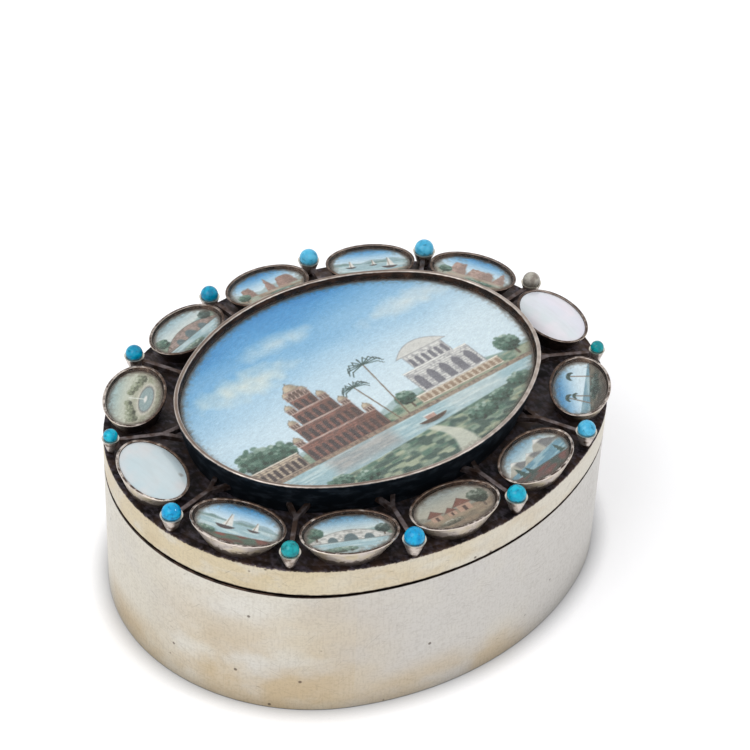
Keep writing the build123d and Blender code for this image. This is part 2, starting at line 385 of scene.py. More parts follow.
def wall_silver():
    """Pale worn silver of the box. Patches of tan gilding are left between -X and -Y and on the
    opposite side, mostly low down, and along the foot at -X and -Y. The -X end is creamier than
    the other, with a whiter part beside it that is partly polish and partly painted highlight.
    A band of painted shade runs along its foot, and its top is dark with tarnish and painted shade
    where the seam is."""
    surface = Surface("wall_silver", Metallic=0.9)
    clouds = surface.math("SUBTRACT", surface.noise(9, detail=4), 0.5)
    cream = surface.spread(surface.plus(surface.facing((-1, 0.1, 0)), clouds, 2.5), -0.1, 1.1)
    silver = surface.mix(cream, COOL_SILVER, PALE_SILVER)
    # Whiter patches on the side facing -X and a little -Y: partly polish, partly painted highlight
    polish_and_highlight = surface.patches(8, 0.15, 0.6, detail=6, shift=4.6)
    polish_and_highlight = surface.product(polish_and_highlight, surface.spread(surface.facing((-0.9, -0.45, 0)), 0.92, 0.99))
    silver = surface.over(silver, polish_and_highlight, 0.45, WHITE_SILVER)
    low = surface.plus(0.35, surface.spread(surface.z, 19 * MM, 3 * MM), 0.65)
    patches = surface.patches(8, 0.3, 0.6, stretch=(1.5, 1.5, 1), detail=5, shift=1.7)
    broad = surface.math("ABSOLUTE", surface.facing((-0.8, -0.6, 0)))
    by_the_foot = surface.spread(surface.z, 8 * MM, 2 * MM)
    end = surface.spread(surface.facing((-0.99, 0.12, 0)), 0.93, 0.99)
    side = surface.product(surface.spread(surface.facing((-0.3, -0.95, 0)), 0.84, 0.96), 0.8)
    lower = surface.product(surface.math("MAXIMUM", end, side), by_the_foot)
    gilded = surface.math("MAXIMUM", surface.spread(broad, 0.78, 0.98), lower)
    colour = surface.mix(surface.product(patches, gilded, low, 0.85), silver, TAN_GILT)
    colour, wear = fine_wear(surface, colour, 0.16)
    # Painted shade: a blue-grey band along the wall's foot
    foot = surface.spread(surface.z, 0.2 * MM, 0.05 * MM)
    colour = surface.over(colour, foot, 0.8, BLUE_SHADE_AND_SHEEN)
    # Tarnish and painted shade in the seam along the wall's top, reaching lower towards the -X end
    near_end = surface.spread(surface.facing((-0.97, 0.2, 0)), 0.1, 1.0)
    mouth = surface.plus(surface.z, near_end, 0.2 * MM)
    mouth = surface.spread(mouth, WALL_TOP - 0.08 * MM, WALL_TOP - 0.02 * MM)
    colour = surface.mix(mouth, colour, seam_tarnish_and_shade(surface))
    return surface.finished(colour, wear, 0.004, Roughness=surface.plus(0.34, wear, 0.14))


def band_silver_gilt():
    """Cream gilding of the lid's band, rubbed thin in patches. It is brown along its lower lip with
    tarnish and painted seam shade, and dark with tarnish where it turns over at the top."""
    surface = Surface("band_silver_gilt", Metallic=0.9)
    clouds = surface.math("SUBTRACT", surface.noise(7, detail=4), 0.5)
    gilt = surface.spread(surface.plus(surface.facing((-0.95, 0.3, 0)), clouds, 1.5), -0.5, 0.6)
    colour = surface.mix(gilt, PALE_SILVER, CREAM_GILT)
    rubbed = surface.patches(2.2, 0.48, 0.64, stretch=(2, 2, 1), detail=6, shift=5.2)
    colour = surface.over(colour, rubbed, 0.7, PALE_SILVER)
    deep = surface.patches(3.0, 0.44, 0.66, stretch=(2, 2, 1), detail=6, shift=2.9)
    colour = surface.over(colour, deep, 0.3, TAN_GILT)
    colour, wear = fine_wear(surface, colour, 0.2)
    edge = surface.plus(surface.z, surface.noise(0.4, detail=5), 0.5 * MM)
    halo = surface.spread(edge, LID_TOP - 0.1 * MM, LID_TOP + 0.16 * MM)
    tarnish = surface.spread(edge, LID_TOP + 0.04 * MM, LID_TOP + 0.18 * MM)
    # Brown tarnish and painted seam shade along the band's lower lip
    ragged = surface.plus(surface.z, surface.noise(0.9, detail=5, shift=4), 0.4 * MM)
    lip = surface.spread(ragged, SEAM_HEIGHT + 0.46 * MM, SEAM_HEIGHT + 0.24 * MM)
    colour = surface.over(colour, lip, 0.85, TARNISH_BROWN)
    colour = surface.over(colour, halo, 0.7, RIM_BROWN)
    colour = surface.mix(tarnish, colour, lid_tarnish(surface))
    return surface.finished(colour, wear, 0.006, Roughness=surface.plus(0.4, tarnish, 0.2))


def seam_tarnish_and_shade(surface):
    """Colour of the patchy brown tarnish and painted shade in the seam where the lid and the box meet."""
    patches = surface.patches(1.8, 0.4, 0.62, detail=5, shift=1.2)
    return surface.mix(patches, SEAM_BROWN, TARNISH_BROWN)


def lid_tarnish(surface):
    """Colour of the black and brown tarnish on the lid, with a mottled violet sheen."""
    clouds = surface.patches(2.2, 0.35, 0.7, detail=5, shift=4.4)
    sheen = surface.patches(0.6, 0.42, 0.74, stretch=(1, 1.5, 1), detail=6)
    return surface.over(surface.mix(clouds, TARNISH_BLACK, TARNISH_BROWN), sheen, 0.7, SHEEN_VIOLET)


def tarnished_plate():
    """Almost black top of the lid."""
    surface = Surface("tarnished_plate", Metallic=0.5, Roughness=0.5)
    return surface.finished(lid_tarnish(surface), surface.noise(0.5, detail=3), 0.03)


def frame_silver():
    """Blue-black side of the picture frame, a dark brown inside and a bare rim. The rim is bright
    along its two rounded edges and dull between them, less so towards +X and -Y."""
    surface = Surface("frame_silver", Metallic=0.8)
    streaks = surface.noise(0.9, stretch=(2, 2, 1), detail=4)
    # The lighter blue streaks on the frame's dark side are painted sheen
    outside = surface.mix(surface.spread(streaks, 0.44, 0.75), FRAME_BLACK, BLUE_SHADE_AND_SHEEN)
    inside = surface.mix(surface.spread(streaks, 0.4, 0.75), SEAM_BROWN, FRAME_BROWN)
    colour = surface.mix(surface.spread(surface.outward(), -0.2, 0.2), inside, outside)
    height = surface.plus(surface.z, surface.noise(0.7, detail=3), 0.16 * MM)
    bare = surface.spread(height, FRAME_TOP - 0.1 * MM, FRAME_TOP + 0.02 * MM)
    rim = surface.over(RIM_SILVER, surface.patches(1.3, 0.3, 0.7, detail=3, shift=2.2), 0.5, RIM_BROWN)
    flat = surface.spread(surface.upright(), 0.86, 0.97)
    cleaner = surface.spread(surface.math("SUBTRACT", surface.x, surface.y), 5 * MM, 25 * MM)
    rim = surface.over(rim, flat, surface.plus(0.8, cleaner, -0.5), RIM_BROWN)
    dullness = surface.plus(0.62, bare, -0.26)
    return surface.finished(surface.mix(bare, colour, rim), streaks, 0.01, Roughness=dullness)


def setting_silver(node):
    """Small setting: pale outside where it faces away from the box's middle, brown behind and
    within, with a rim that is worn bright in places. The bright share of the rim is smaller on
    the settings towards +X and +Y."""
    surface = Surface(node + "_silver", Metallic=0.85)
    low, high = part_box(node)
    middle = tuple((a + b) / 2 for a, b in zip(low, high))
    clouds = surface.noise(1.6, detail=4)
    cloudy = surface.spread(clouds, 0.35, 0.7)
    pale = surface.mix(cloudy, RIM_SILVER, CREAM_GILT)
    dark = surface.mix(cloudy, TARNISH_BROWN, TARNISH_BLACK)
    towards_edge = surface.spread(surface.plus(surface.outward(), clouds, 0.6), 0.35, 0.85)
    outside = surface.spread(surface.outward_from(middle), -0.1, 0.2)
    colour = surface.mix(surface.product(towards_edge, outside), dark, pale)
    within = surface.math("SUBTRACT", 1.0, outside)
    scraped = surface.product(surface.patches(0.7, 0.5, 0.72, detail=3, shift=9), within)
    colour = surface.over(colour, scraped, 0.6, RIM_BROWN)
    blotches = surface.patches(0.7, 0.5, 0.66, detail=5, shift=3.3)
    colour = surface.over(colour, blotches, 0.18, RIM_BROWN)
    colour = surface.over(colour, surface.specks(0.9, 0.15, shift=0.4), 0.4, TARNISH_BROWN)
    foot = surface.plus(surface.z, surface.noise(0.6, detail=5), -2.4 * MM)
    colour = surface.over(colour, surface.spread(foot, *FOOT_GRIME), 0.75, TARNISH_BROWN)
    bare = surface.spread(surface.z, SETTING_TOP - 0.13 * MM, SETTING_TOP - 0.03 * MM)
    own_share = (middle[0] / HALF_LENGTH) ** 2 + (middle[1] / HALF_WIDTH) ** 2
    farther = surface.math("SUBTRACT", surface.oval_share(), own_share)
    rubbed = surface.plus(farther, surface.noise(1.1, detail=4, shift=6.1), 0.9)
    # Smaller bright share of the rim on the settings towards +X and +Y
    rim_brightness = float(np.interp(middle[0] + middle[1], (0, 30 * MM), (1, 0.3)))
    rim = surface.mix(blotches, RIM_BROWN, TARNISH_BROWN)
    rim = surface.over(rim, surface.spread(rubbed, 0.3, 0.6), rim_brightness, RIM_SILVER)
    flat = surface.spread(surface.upright(), 0.7, 0.96)
    scuffed = surface.patches(0.9, 0.66, 0.42, detail=4, shift=1.3)
    rim = surface.over(rim, surface.product(flat, scuffed), 0.95, TARNISH_BROWN)
    relief = surface.math("ADD", clouds, blotches)
    return surface.finished(surface.mix(bare, colour, rim), relief, 0.03, Roughness=0.38)


def cup_silver():
    """Bead cups: clouded pinkish silver, brown at the foot, with bright rims."""
    surface = Surface("cup_silver", Metallic=0.85, Roughness=0.35)
    clouds = surface.noise(0.8, detail=4)
    colour = surface.mix(surface.spread(clouds, 0.4, 0.7), RIM_SILVER, RIM_BROWN)
    foot = surface.plus(surface.z, clouds, -1.4 * MM)
    colour = surface.mix(surface.spread(foot, *FOOT_GRIME), colour, TARNISH_BROWN)
    bright = surface.spread(surface.z, CUP_TOP - 0.15 * MM, CUP_TOP - 0.03 * MM)
    return surface.finished(surface.mix(bright, colour, PALE_SILVER), surface.noise(0.4), 0.02)


def wire_silver():
    """Dark brown wires, worn grey in patches."""
    surface = Surface("wire_silver", Metallic=0.8, Roughness=0.42)
    colour = surface.mix(surface.patches(1.2, 0.35, 0.75, detail=3), TARNISH_BROWN, WIRE_GREY)
    return surface.finished(colour, surface.noise(0.5), 0.015)


def inside_silver():
    """Plain silver of the collar, dull from the lid's rubbing, with a dark line of tarnish and painted shade
    at the seam.
    """
    surface = Surface("inside_silver", Metallic=0.95)
    colour, wear = fine_wear(surface, surface.mix(surface.noise(8), COOL_SILVER, CREAM_GILT), 0.25)
    # Tarnish and painted shade along the seam, on the outer side
    outer = surface.spread(surface.outward(), 0.2, 0.6)
    edge = surface.plus(surface.z, surface.noise(1.1, detail=4, shift=2), 0.5 * MM)
    seam = surface.product(surface.spread(edge, SEAM_HEIGHT + 0.6 * MM, SEAM_HEIGHT + 0.2 * MM), outer)
    colour = surface.over(colour, seam, 0.9, seam_tarnish_and_shade(surface))
    return surface.finished(colour, Roughness=surface.plus(0.34, wear, 0.2))


def bead_stone(name, colour, shade, shade_height=0.45):
    """Polished stone bead, mottled between two near colours, with darker veins. Painted shade lies
    round its foot, up to a height in millimetres over the cup."""
    surface = Surface(name, Roughness=0.25, Specular_IOR_Level=0.05, Coat_Weight=0.45, Coat_Roughness=0.04)
    mixed = surface.mix(surface.patches(0.8, 0.35, 0.65, detail=4), colour, shade)
    veins = surface.patches(0.5, 0.54, 0.7, detail=5, shift=5.5)
    mixed = surface.over(mixed, veins, 0.6, darker(shade, 0.45))
    # Painted shade round the bead's foot, over the cup
    foot_shade = surface.spread(surface.z, CUP_TOP + shade_height * MM, CUP_TOP - 0.05 * MM)
    return surface.finished(surface.over(mixed, foot_shade, 0.7, darker(shade, 0.65)))


def shell_pearl(name, colour, sheen, glow, stains=()):
    """Mother-of-pearl: clouds of two near tints, a warm glow in places, and stains."""
    surface = Surface(name, Roughness=0.3, Coat_Weight=0.6, Coat_Roughness=0.1)
    mixed = surface.mix(surface.patches(5, 0.3, 0.7, stretch=(1, 2, 1), detail=3), colour, sheen)
    mixed = surface.over(mixed, surface.patches(4, 0.45, 0.7, shift=7.7), 0.6, glow)
    growth = surface.patches(0.5, 0.4, 0.8, stretch=(1, 6, 1), detail=3)
    mixed = surface.over(mixed, growth, 0.08, SCRATCH_GREY)
    for place, reach in stains:
        mixed = surface.over(mixed, surface.stain(place, reach), 0.6, SCRATCH_GREY)
    return surface.finished(mixed)


def packing_card():
    """Dull card under the pictures and the shell."""
    surface = Surface("packing_card", Roughness=0.9)
    return surface.finished(surface.mix(surface.noise(0.5, detail=4), CARD_BROWN, CARD_BUFF))


def clear_glass():
    """Thin clear glass: what lies under it, with a faint reflection of the room."""
    surface = Surface("clear_glass")
    tree = surface.tree
    clear = surface.node("BsdfTransparent", {"Color": (252, 252, 250)}).outputs[0]
    wiped = surface.patches(3, 0.3, 0.8, detail=3)
    gloss = surface.node("BsdfGlossy", {"Roughness": surface.product(wiped, 0.12)}).outputs[0]
    share = surface.product(surface.node("LayerWeight", {"Blend": 0.5}).outputs["Facing"], 0.06)
    pane = surface.node("MixShader", {0: share, 1: clear, 2: gloss})
    tree.nodes.remove(surface.shader)
    tree.links.new(pane.outputs[0], tree.nodes["Material Output"].inputs["Surface"])
    return surface.material


def dress(material, *names):
    """Puts a material on the CAD nodes of those names."""
    for name in names:
        for slot in nodes[name].material_slots:
            slot.material = material


# Paintings


class Picture:
    """Paint on the points of a small panel, laid on in soft-edged shapes.

    Places are in millimetres from the panel's middle, across and up as the picture is
    seen. Colours are display values from 0 to 255."""

    def __init__(self, across, up, seed):
        self.across = across
        self.up = up
        self.colour = np.zeros((len(across), 3))
        self.chance = np.random.default_rng(seed)

    def lay(self, inside, colour, edge=0.12, strength=1.0):
        """Paints where the distance inside is positive, fading over the edge."""
        cover = (strength * np.clip(inside / edge + 0.5, 0, 1))[:, None]
        self.colour += (np.asarray(colour, float) - self.colour) * cover

    def mottle(self, size, stretch=1.0):
        """Smooth random field from 0 to 1 with features of a size, longer across by the stretch."""
        grid = self.chance.random((64, 64))
        column = self.across / size / stretch + 32
        row = self.up / size + 32
        left = np.floor(column).astype(int)
        low = np.floor(row).astype(int)
        along = smooth(column - left)
        rise = smooth(row - low)

        def corner(step_across, step_up):
            return grid[(low + step_up) % 64, (left + step_across) % 64]

        bottom = corner(0, 0) * (1 - along) + corner(1, 0) * along
        top = corner(0, 1) * (1 - along) + corner(1, 1) * along
        return bottom * (1 - rise) + top * rise

    def box(self, left, right, low, high):
        """Distance inside an upright rectangle."""
        sides = np.minimum(self.across - left, right - self.across)
        return np.minimum(sides, np.minimum(self.up - low, high - self.up))

    def block(self, left, right, low, high, colour):
        self.lay(self.box(left, right, low, high), colour)

    def disc(self, across, up, half_width, half_height):
        """Distance inside an ellipse, roughly."""
        reach = np.hypot((self.across - across) / half_width, (self.up - up) / half_height)
        return (1 - reach) * min(half_width, half_height)

    def gable(self, middle, foot, half_width, rise):
        """Distance inside a triangle on a level base."""
        slant = half_width * (1 - (self.up - foot) / rise) - np.abs(self.across - middle)
        return np.minimum(slant, self.up - foot)

    def stroke(self, start, end, width, colour):
        """Straight stroke between two points."""
        run = np.subtract(end, start)
        away = np.stack([self.across - start[0], self.up - start[1]], axis=1)
        share = np.clip(away @ run / (run @ run), 0, 1)
        gap = np.hypot(*(away - share[:, None] * run).T)
        self.lay(width / 2 - gap, colour)

    def sky(self, high, low, horizon, top, lean=0.004):
        """Sky that deepens upwards, a little more towards the left."""
        share = (self.up - horizon) / (top - horizon) - lean * self.across
        share = np.clip(share + 0.12 * (self.mottle(3.0, 2.5) - 0.5), 0, 1)[:, None] ** 1.7
        self.colour = np.asarray(low, float) * (1 - share) + np.asarray(high, float) * share

    def cloud(self, across, up, half_width, half_height, colour):
        inside = self.disc(across, up, half_width, half_height) + 0.9 * half_height * (self.mottle(1.3) - 0.5)
        self.lay(inside, colour, edge=1.6 * half_height, strength=0.75)

    def hills(self, base, rise, span, colour):
        """Far ridge along the horizon."""
        ridge = base + rise * (np.sin(self.across / span) + 0.5 * np.sin(2.7 * self.across / span + 1))
        self.lay(ridge - self.up, colour, edge=0.25)

    def ground(self, top, colours, slope=0.0):
        """Ground below a level, stippled in several colours."""
        inside = top + slope * self.across - self.up
        self.lay(inside, colours[0])
        for colour in colours[1:]:
            patches = np.minimum(inside, self.mottle(0.45, 3.0) - 0.55)
            self.lay(patches, colour, edge=0.3, strength=0.8)

    def water(self, top, low, colour, ripple):
        """Level water with lighter and darker ripples."""
        inside = np.minimum(top - self.up, self.up - low)
        self.lay(inside, colour)
        self.lay(np.minimum(inside, self.mottle(0.25, 8.0) - 0.6), ripple, edge=0.3, strength=0.6)

    def outline(self, inside, colour):
        """Thin drawn line along a shape's edge."""
        self.lay(0.07 - np.abs(inside), colour, edge=0.14, strength=0.55)

    def masonry(self, inside, course, colour):
        """Thin level joints and grain over a wall."""
        joints = 0.25 * course - np.abs((self.up / course) % 1 - 0.5) * course
        self.lay(np.minimum(inside, joints), colour, edge=0.1, strength=0.35)
        self.lay(np.minimum(inside, self.mottle(0.3) - 0.6), colour, edge=0.3, strength=0.45)

    def arch(self, middle, foot, half_width, spring, colour):
        """Opening with a pointed head."""
        aside = np.abs(self.across - middle)
        head = 1.7 * half_width - np.hypot(aside + 0.7 * half_width, np.maximum(self.up - spring, 0))
        self.lay(np.minimum(head, self.up - foot), colour)

    def arcade(self, left, right, low, high, bays, wall, opening):
        """Wall with a row of arches, a pale cornice and a plinth."""
        inside = self.box(left, right, low, high)
        self.lay(inside, wall)
        self.masonry(inside, 0.4, opening)
        self.outline(inside, opening)
        bay = (right - left) / bays
        rise = high - low
        for index in range(bays):
            middle = left + bay * (index + 0.5)
            self.arch(middle, low + 0.08 * rise, 0.3 * bay, low + 0.55 * rise, opening)
        pale = lighter(wall, 0.55)
        self.block(left - 0.1, right + 0.1, high - 0.14, high + 0.06, pale)
        self.block(left - 0.05, right + 0.05, low, low + 0.1, pale)

    def dome(self, middle, foot, half_width, rise, colour):
        """Onion dome with a lit side, a shaded side and a finial."""
        height = (self.up - foot) / rise
        swell = half_width * (1 + 0.1 * np.sin(math.pi * np.clip(2 * height, 0, 1)))
        profile = swell * np.sqrt(np.clip(1 - np.clip(height, 0, 1) ** 2.4, 0, 1))
        level = np.minimum(self.up - foot, foot + rise - self.up)
        inside = np.minimum(profile - np.abs(self.across - middle), level)
        self.lay(inside, colour)
        self.outline(inside, darker(colour, 0.5))
        shaded = np.minimum(inside, self.across - middle - 0.25 * half_width)
        self.lay(shaded, darker(colour, 0.28), edge=half_width, strength=0.8)
        self.block(middle - 0.07, middle + 0.07, foot + rise, foot + 1.25 * rise, darker(colour, 0.4))

    def kiosk(self, middle, foot, size, wall, roof):
        """Small domed kiosk on open posts."""
        self.block(middle - 0.5 * size, middle + 0.5 * size, foot, foot + 0.6 * size, darker(wall, 0.45))
        for side in (-0.45, -0.15, 0.15, 0.45):
            post = middle + side * size
            self.block(post - 0.05, post + 0.05, foot, foot + 0.6 * size, lighter(wall, 0.3))
        self.block(middle - 0.6 * size, middle + 0.6 * size, foot + 0.6 * size, foot + 0.72 * size, wall)
        self.dome(middle, foot + 0.72 * size, 0.42 * size, 0.6 * size, roof)

    def foliage(self, across, up, half_width, half_height, colour, dabs=140):
        """Bush or crown of leaves, in small dabs that go from dark below to light above."""
        self.lay(self.disc(across, up, 0.8 * half_width, 0.75 * half_height), darker(colour, 0.35), edge=0.6)
        for _ in range(dabs):
            turn = self.chance.uniform(0, 2 * math.pi)
            reach = math.sqrt(self.chance.random())
            middle = across + half_width * reach * math.cos(turn)
            height = reach * math.sin(turn)
            size = self.chance.uniform(0.05, 0.13) * min(half_width, half_height) + 0.09
            light = 0.4 * height + self.chance.uniform(-0.4, 0.25)
            tint = lighter(colour, light) if light > 0 else darker(colour, -light)
            dab = self.disc(middle, up + half_height * height, 1.3 * size, size)
            self.lay(dab, tint, edge=0.14, strength=0.85)

    def tree(self, across, foot, width, height, colour):
        """Round tree on a short trunk."""
        top = (across + 0.04 * width, foot + 0.6 * height)
        self.stroke((across, foot), top, 0.12 * width, TRUNK_BROWN)
        self.foliage(across, foot + 0.64 * height, 0.5 * width, 0.38 * height, colour)

    def palm(self, across, foot, height, lean, colour):
        """Tall palm with drooping fronds."""
        crown = (across + lean, foot + height)
        self.stroke((across, foot), crown, 0.2, PALM_BROWN)
        for turn in np.linspace(-0.45, math.pi + 0.45, 11):
            reach = 0.2 * height
            tip = (crown[0] + reach * math.cos(turn), crown[1] + 0.55 * reach * math.sin(turn))
            droop = (tip[0] + 0.25 * reach * math.cos(turn), tip[1] - 0.35 * reach)
            self.stroke(crown, tip, 0.16, colour)
            self.stroke(tip, droop, 0.14, darker(colour, 0.2))

    def finish(self):
        """Fine stippled brush marks over all. Returns linear colours."""
        grain = 4 * self.chance.standard_normal(len(self.up)) + 16 * (self.mottle(0.16, 3.0) - 0.5)
        return linear(np.clip(self.colour + grain[:, None], 0, 255))


def smooth(share):
    return share * share * (3 - 2 * share)


def lighter(colour, share):
    return tuple(value + (255 - value) * share for value in colour)


def darker(colour, share):
    return tuple(value * (1 - share) for value in colour)


def river_palace(picture):
    """Large view: a marble pavilion, a tiered red palace and an arcade beside a river."""
    picture.sky(DEEP_SKY, PALE_SKY, -5, 19)
    picture.cloud(-13, 8, 5, 1.6, (232, 234, 228))
    picture.cloud(-4, 12.5, 4, 1.1, (206, 222, 234))
    picture.cloud(16, 9, 5, 1.3, (222, 230, 236))
    picture.hills(-6.4, 0.7, 5.0, (168, 190, 198))
    picture.hills(-7.3, 0.4, 2.2, (138, 162, 158))
    picture.ground(-7.6, (GRASS, LEAF, (166, 170, 150)))
    for across, size in ((20.5, 3.6), (2.2, 2.8), (-17.5, 4.6), (-20.8, 5.4)):
        picture.tree(across, -8.6, size, 1.15 * size, LEAF)
    marble_pavilion(picture, 10.5, -8.8)
    tiered_palace(picture, -8.6, -9.4)
    picture.arcade(-24.5, -15.8, -9.3, -6.4, 9, CREAM_STONE, DARK_OPENING)
    picture.palm(0.6, -9.4, 11.5, 1.6, LEAF_DARK)
    picture.palm(-0.9, -9.4, 8.6, -0.9, LEAF_DARK)
    picture.block(-25, 25, -9.9, -9.2, (170, 152, 136))
    picture.masonry(picture.box(-25, 25, -9.9, -9.2), 0.25, DARK_OPENING)
    picture.water(-9.9, -13.6, RIVER, (210, 224, 230))
    picture.lay(picture.box(-14, -3.5, -13, -9.9), RED_STONE, edge=1.6, strength=0.3)
    picture.lay(picture.box(6, 15, -12.6, -9.9), MARBLE, edge=1.6, strength=0.35)
    rowing_boat(picture, 2.5, -11.9)
    picture.ground(-13.2, (GRASS, LEAF, (176, 182, 160), LEAF_DARK), slope=0.05)
    picture.lay(path_to_river(picture), (206, 208, 200), edge=0.5, strength=0.9)
    bushes = ((-15, -14.2, 2.0), (-11.5, -15.3, 1.7), (8.5, -14.6, 2.2), (12.5, -13.6, 1.8), (17, -12.6, 2.0))
    for across, up, size in bushes:
        picture.foliage(across, up, size, 0.6 * size, LEAF)


def path_to_river(picture):
    """Distance inside a pale path that widens towards the viewer."""
    middle = 1.2 - 0.35 * (picture.up + 13) + 0.8 * np.sin(0.7 * picture.up)
    half_width = 0.5 - 0.22 * (picture.up + 13)
    return np.minimum(half_width - np.abs(picture.across - middle), -13.0 - picture.up)


def marble_pavilion(picture, middle, foot):
    """Open pavilion of two storeys on a plinth, under a low curved roof with drooping eaves."""
    opening = (118, 118, 130)
    lower, upper, eaves = foot + 1.5, foot + 6.0, foot + 8.8
    picture.arcade(middle - 7, middle + 7, foot, lower, 14, lighter(CREAM_STONE, 0.3), EARTH)
    picture.arcade(middle - 5.4, middle + 5.4, lower, upper, 5, MARBLE, opening)
    picture.arcade(middle - 3.3, middle + 3.3, upper, eaves, 6, lighter(MARBLE, 0.3), opening)
    roof = np.minimum(eaves + 2.0 - 0.11 * (picture.across - middle) ** 2 - picture.up, picture.up - eaves)
    picture.lay(roof, darker(MARBLE, 0.06))
    picture.outline(roof, opening)


def tiered_palace(picture, middle, foot):
    """Red palace of four arcaded storeys that step in towards a domed kiosk."""
    storeys = ((6.2, 0, 3.6, 11), (4.6, 3.6, 6.6, 8), (3.1, 6.6, 9.2, 5), (1.7, 9.2, 11.4, 3))
    for half_width, low, high, bays in storeys:
        left, right = middle - half_width, middle + half_width
        picture.arcade(left, right, foot + low, foot + high, bays, RED_STONE, DARK_OPENING)
        shade = picture.box(middle + 0.45 * half_width, right, foot + low, foot + high)
        picture.lay(shade, darker(RED_STONE, 0.4), edge=0.8, strength=0.35)
        for corner in (left + 0.5, right - 0.5):
            picture.kiosk(corner, foot + high, 1.3, PINK_STONE, CREAM_STONE)
    picture.kiosk(middle, foot + 11.4, 2.2, PINK_STONE, CREAM_STONE)


def rowing_boat(picture, across, up):
    """Small boat with a canopy, and its reflection."""
    picture.lay(picture.disc(across, up - 0.25, 2.4, 0.35), (104, 118, 124), edge=0.4, strength=0.6)
    hull = np.minimum(picture.disc(across, up + 0.4, 2.3, 0.9), up + 0.25 - picture.up)
    picture.lay(hull, (84, 66, 58))
    picture.block(across - 0.9, across + 0.7, up + 0.25, up + 0.95, PINK_STONE)
    picture.block(across - 1.05, across + 0.85, up + 0.9, up + 1.1, MARBLE)


def sailing_lake(picture, shore, boats):
    """Small view of sailing boats on a lake below far hills. Each boat has its place and height."""
    picture.sky(DEEP_SKY, PALE_SKY, 0.2, 3.2)
    picture.hills(0.7, 0.3, 1.4, (150, 176, 190))
    picture.hills(0.35, 0.2, 0.8, (118, 146, 148))
    picture.water(0.1, -3.8, RIVER, (216, 228, 234))
    for across, foot, height in boats:
        picture.lay(picture.gable(across + 0.1 * height, foot + 0.15 * height, 0.32 * height, height), MARBLE)
        picture.stroke((across, foot), (across, foot + 1.1 * height), 0.1, EARTH)
        hull = picture.disc(across, foot + 0.2 * height, 0.6 * height, 0.35 * height)
        picture.lay(np.minimum(hull, foot + 0.12 * height - picture.up), DARK_OPENING)
    picture.ground(-1.9, (shore, darker(shore, 0.25), LEAF), slope=0.12)
    picture.foliage(-3.6, -2.0, 1.3, 0.5, LEAF)


def stone_bridge(picture, stone, high_sky):
    """Small view of a humped bridge of three arches over a river, between trees."""
    picture.sky(high_sky, MILK_SKY, 0, 3.2)
    picture.hills(0.5, 0.25, 1.7, (150, 176, 180))
    picture.ground(0.1, (GRASS, LEAF))
    picture.water(-0.8, -3.8, RIVER, (212, 224, 230))
    deck = np.minimum(0.8 - 0.06 * picture.across**2 - picture.up, picture.up + 1.1)
    picture.lay(deck, stone)
    picture.masonry(deck, 0.3, darker(stone, 0.45))
    picture.outline(deck, darker(stone, 0.5))
    for middle, half_width in ((-2.3, 0.65), (0, 0.9), (2.3, 0.65)):
        opening = np.minimum(picture.disc(middle, -1.1, half_width, 1.4 * half_width), picture.up + 1.1)
        picture.lay(opening, darker(RIVER, 0.4))
    picture.tree(-4.2, -0.6, 1.8, 2.2, LEAF)
    picture.tree(4.3, -0.7, 1.7, 1.8, LEAF_DARK)
    picture.foliage(-1.6, -2.5, 2.0, 0.4, lighter(LEAF, 0.2))


def table_rocks(picture, stone, rocks):
    """Small view of flat-topped rocks on a plain. Each rock has its middle, half width and top."""
    picture.sky(DEEP_SKY, PALE_SKY, -0.4, 3.2)
    picture.hills(0.2, 0.3, 1.1, (168, 186, 194))
    for middle, half_width, high in rocks:
        taper = half_width - 0.3 * (picture.up + 0.8)
        rock = np.minimum(taper - np.abs(picture.across - middle), high - picture.up)
        rock += 0.3 * (picture.mottle(0.4) - 0.5)
        picture.lay(rock, stone)
        picture.masonry(rock, 0.35, darker(stone, 0.35))
        picture.lay(np.minimum(rock, picture.across - middle), darker(stone, 0.3), edge=0.6, strength=0.7)
    picture.ground(-0.8, (lighter(EARTH, 0.3), lighter(GRASS, 0.2), EARTH))
    picture.tree(-3.9, -1.5, 1.6, 1.6, LEAF)
    picture.foliage(1.6, -1.6, 1.8, 0.35, LEAF)


def thatched_village(picture):
    """Small dull view of thatched huts beside a broad tree."""
    wall, door, thatch = (178, 146, 130), (78, 58, 54), (122, 80, 70)
    foot = -1.2
    picture.sky((142, 158, 166), (176, 172, 162), 0, 3.4)
    picture.hills(0.2, 0.3, 1.3, (142, 142, 134))
    picture.ground(-0.6, ((140, 122, 106), (120, 110, 96), (154, 138, 120)))
    for middle, size in ((-3.1, 1.3), (-0.9, 1.0), (1.1, 1.6)):
        picture.block(middle - 0.6 * size, middle + 0.6 * size, foot, foot + 0.8 * size, wall)
        picture.block(middle - 0.15 * size, middle + 0.15 * size, foot, foot + 0.55 * size, door)
        roof = picture.gable(middle, foot + 0.75 * size, 0.9 * size, 0.8 * size)
        picture.lay(roof, thatch)
        picture.outline(roof, door)
    picture.tree(3.7, -1.6, 2.6, 3.0, (56, 70, 58))
    picture.foliage(-1.8, -2.1, 1.6, 0.35, (112, 108, 94))


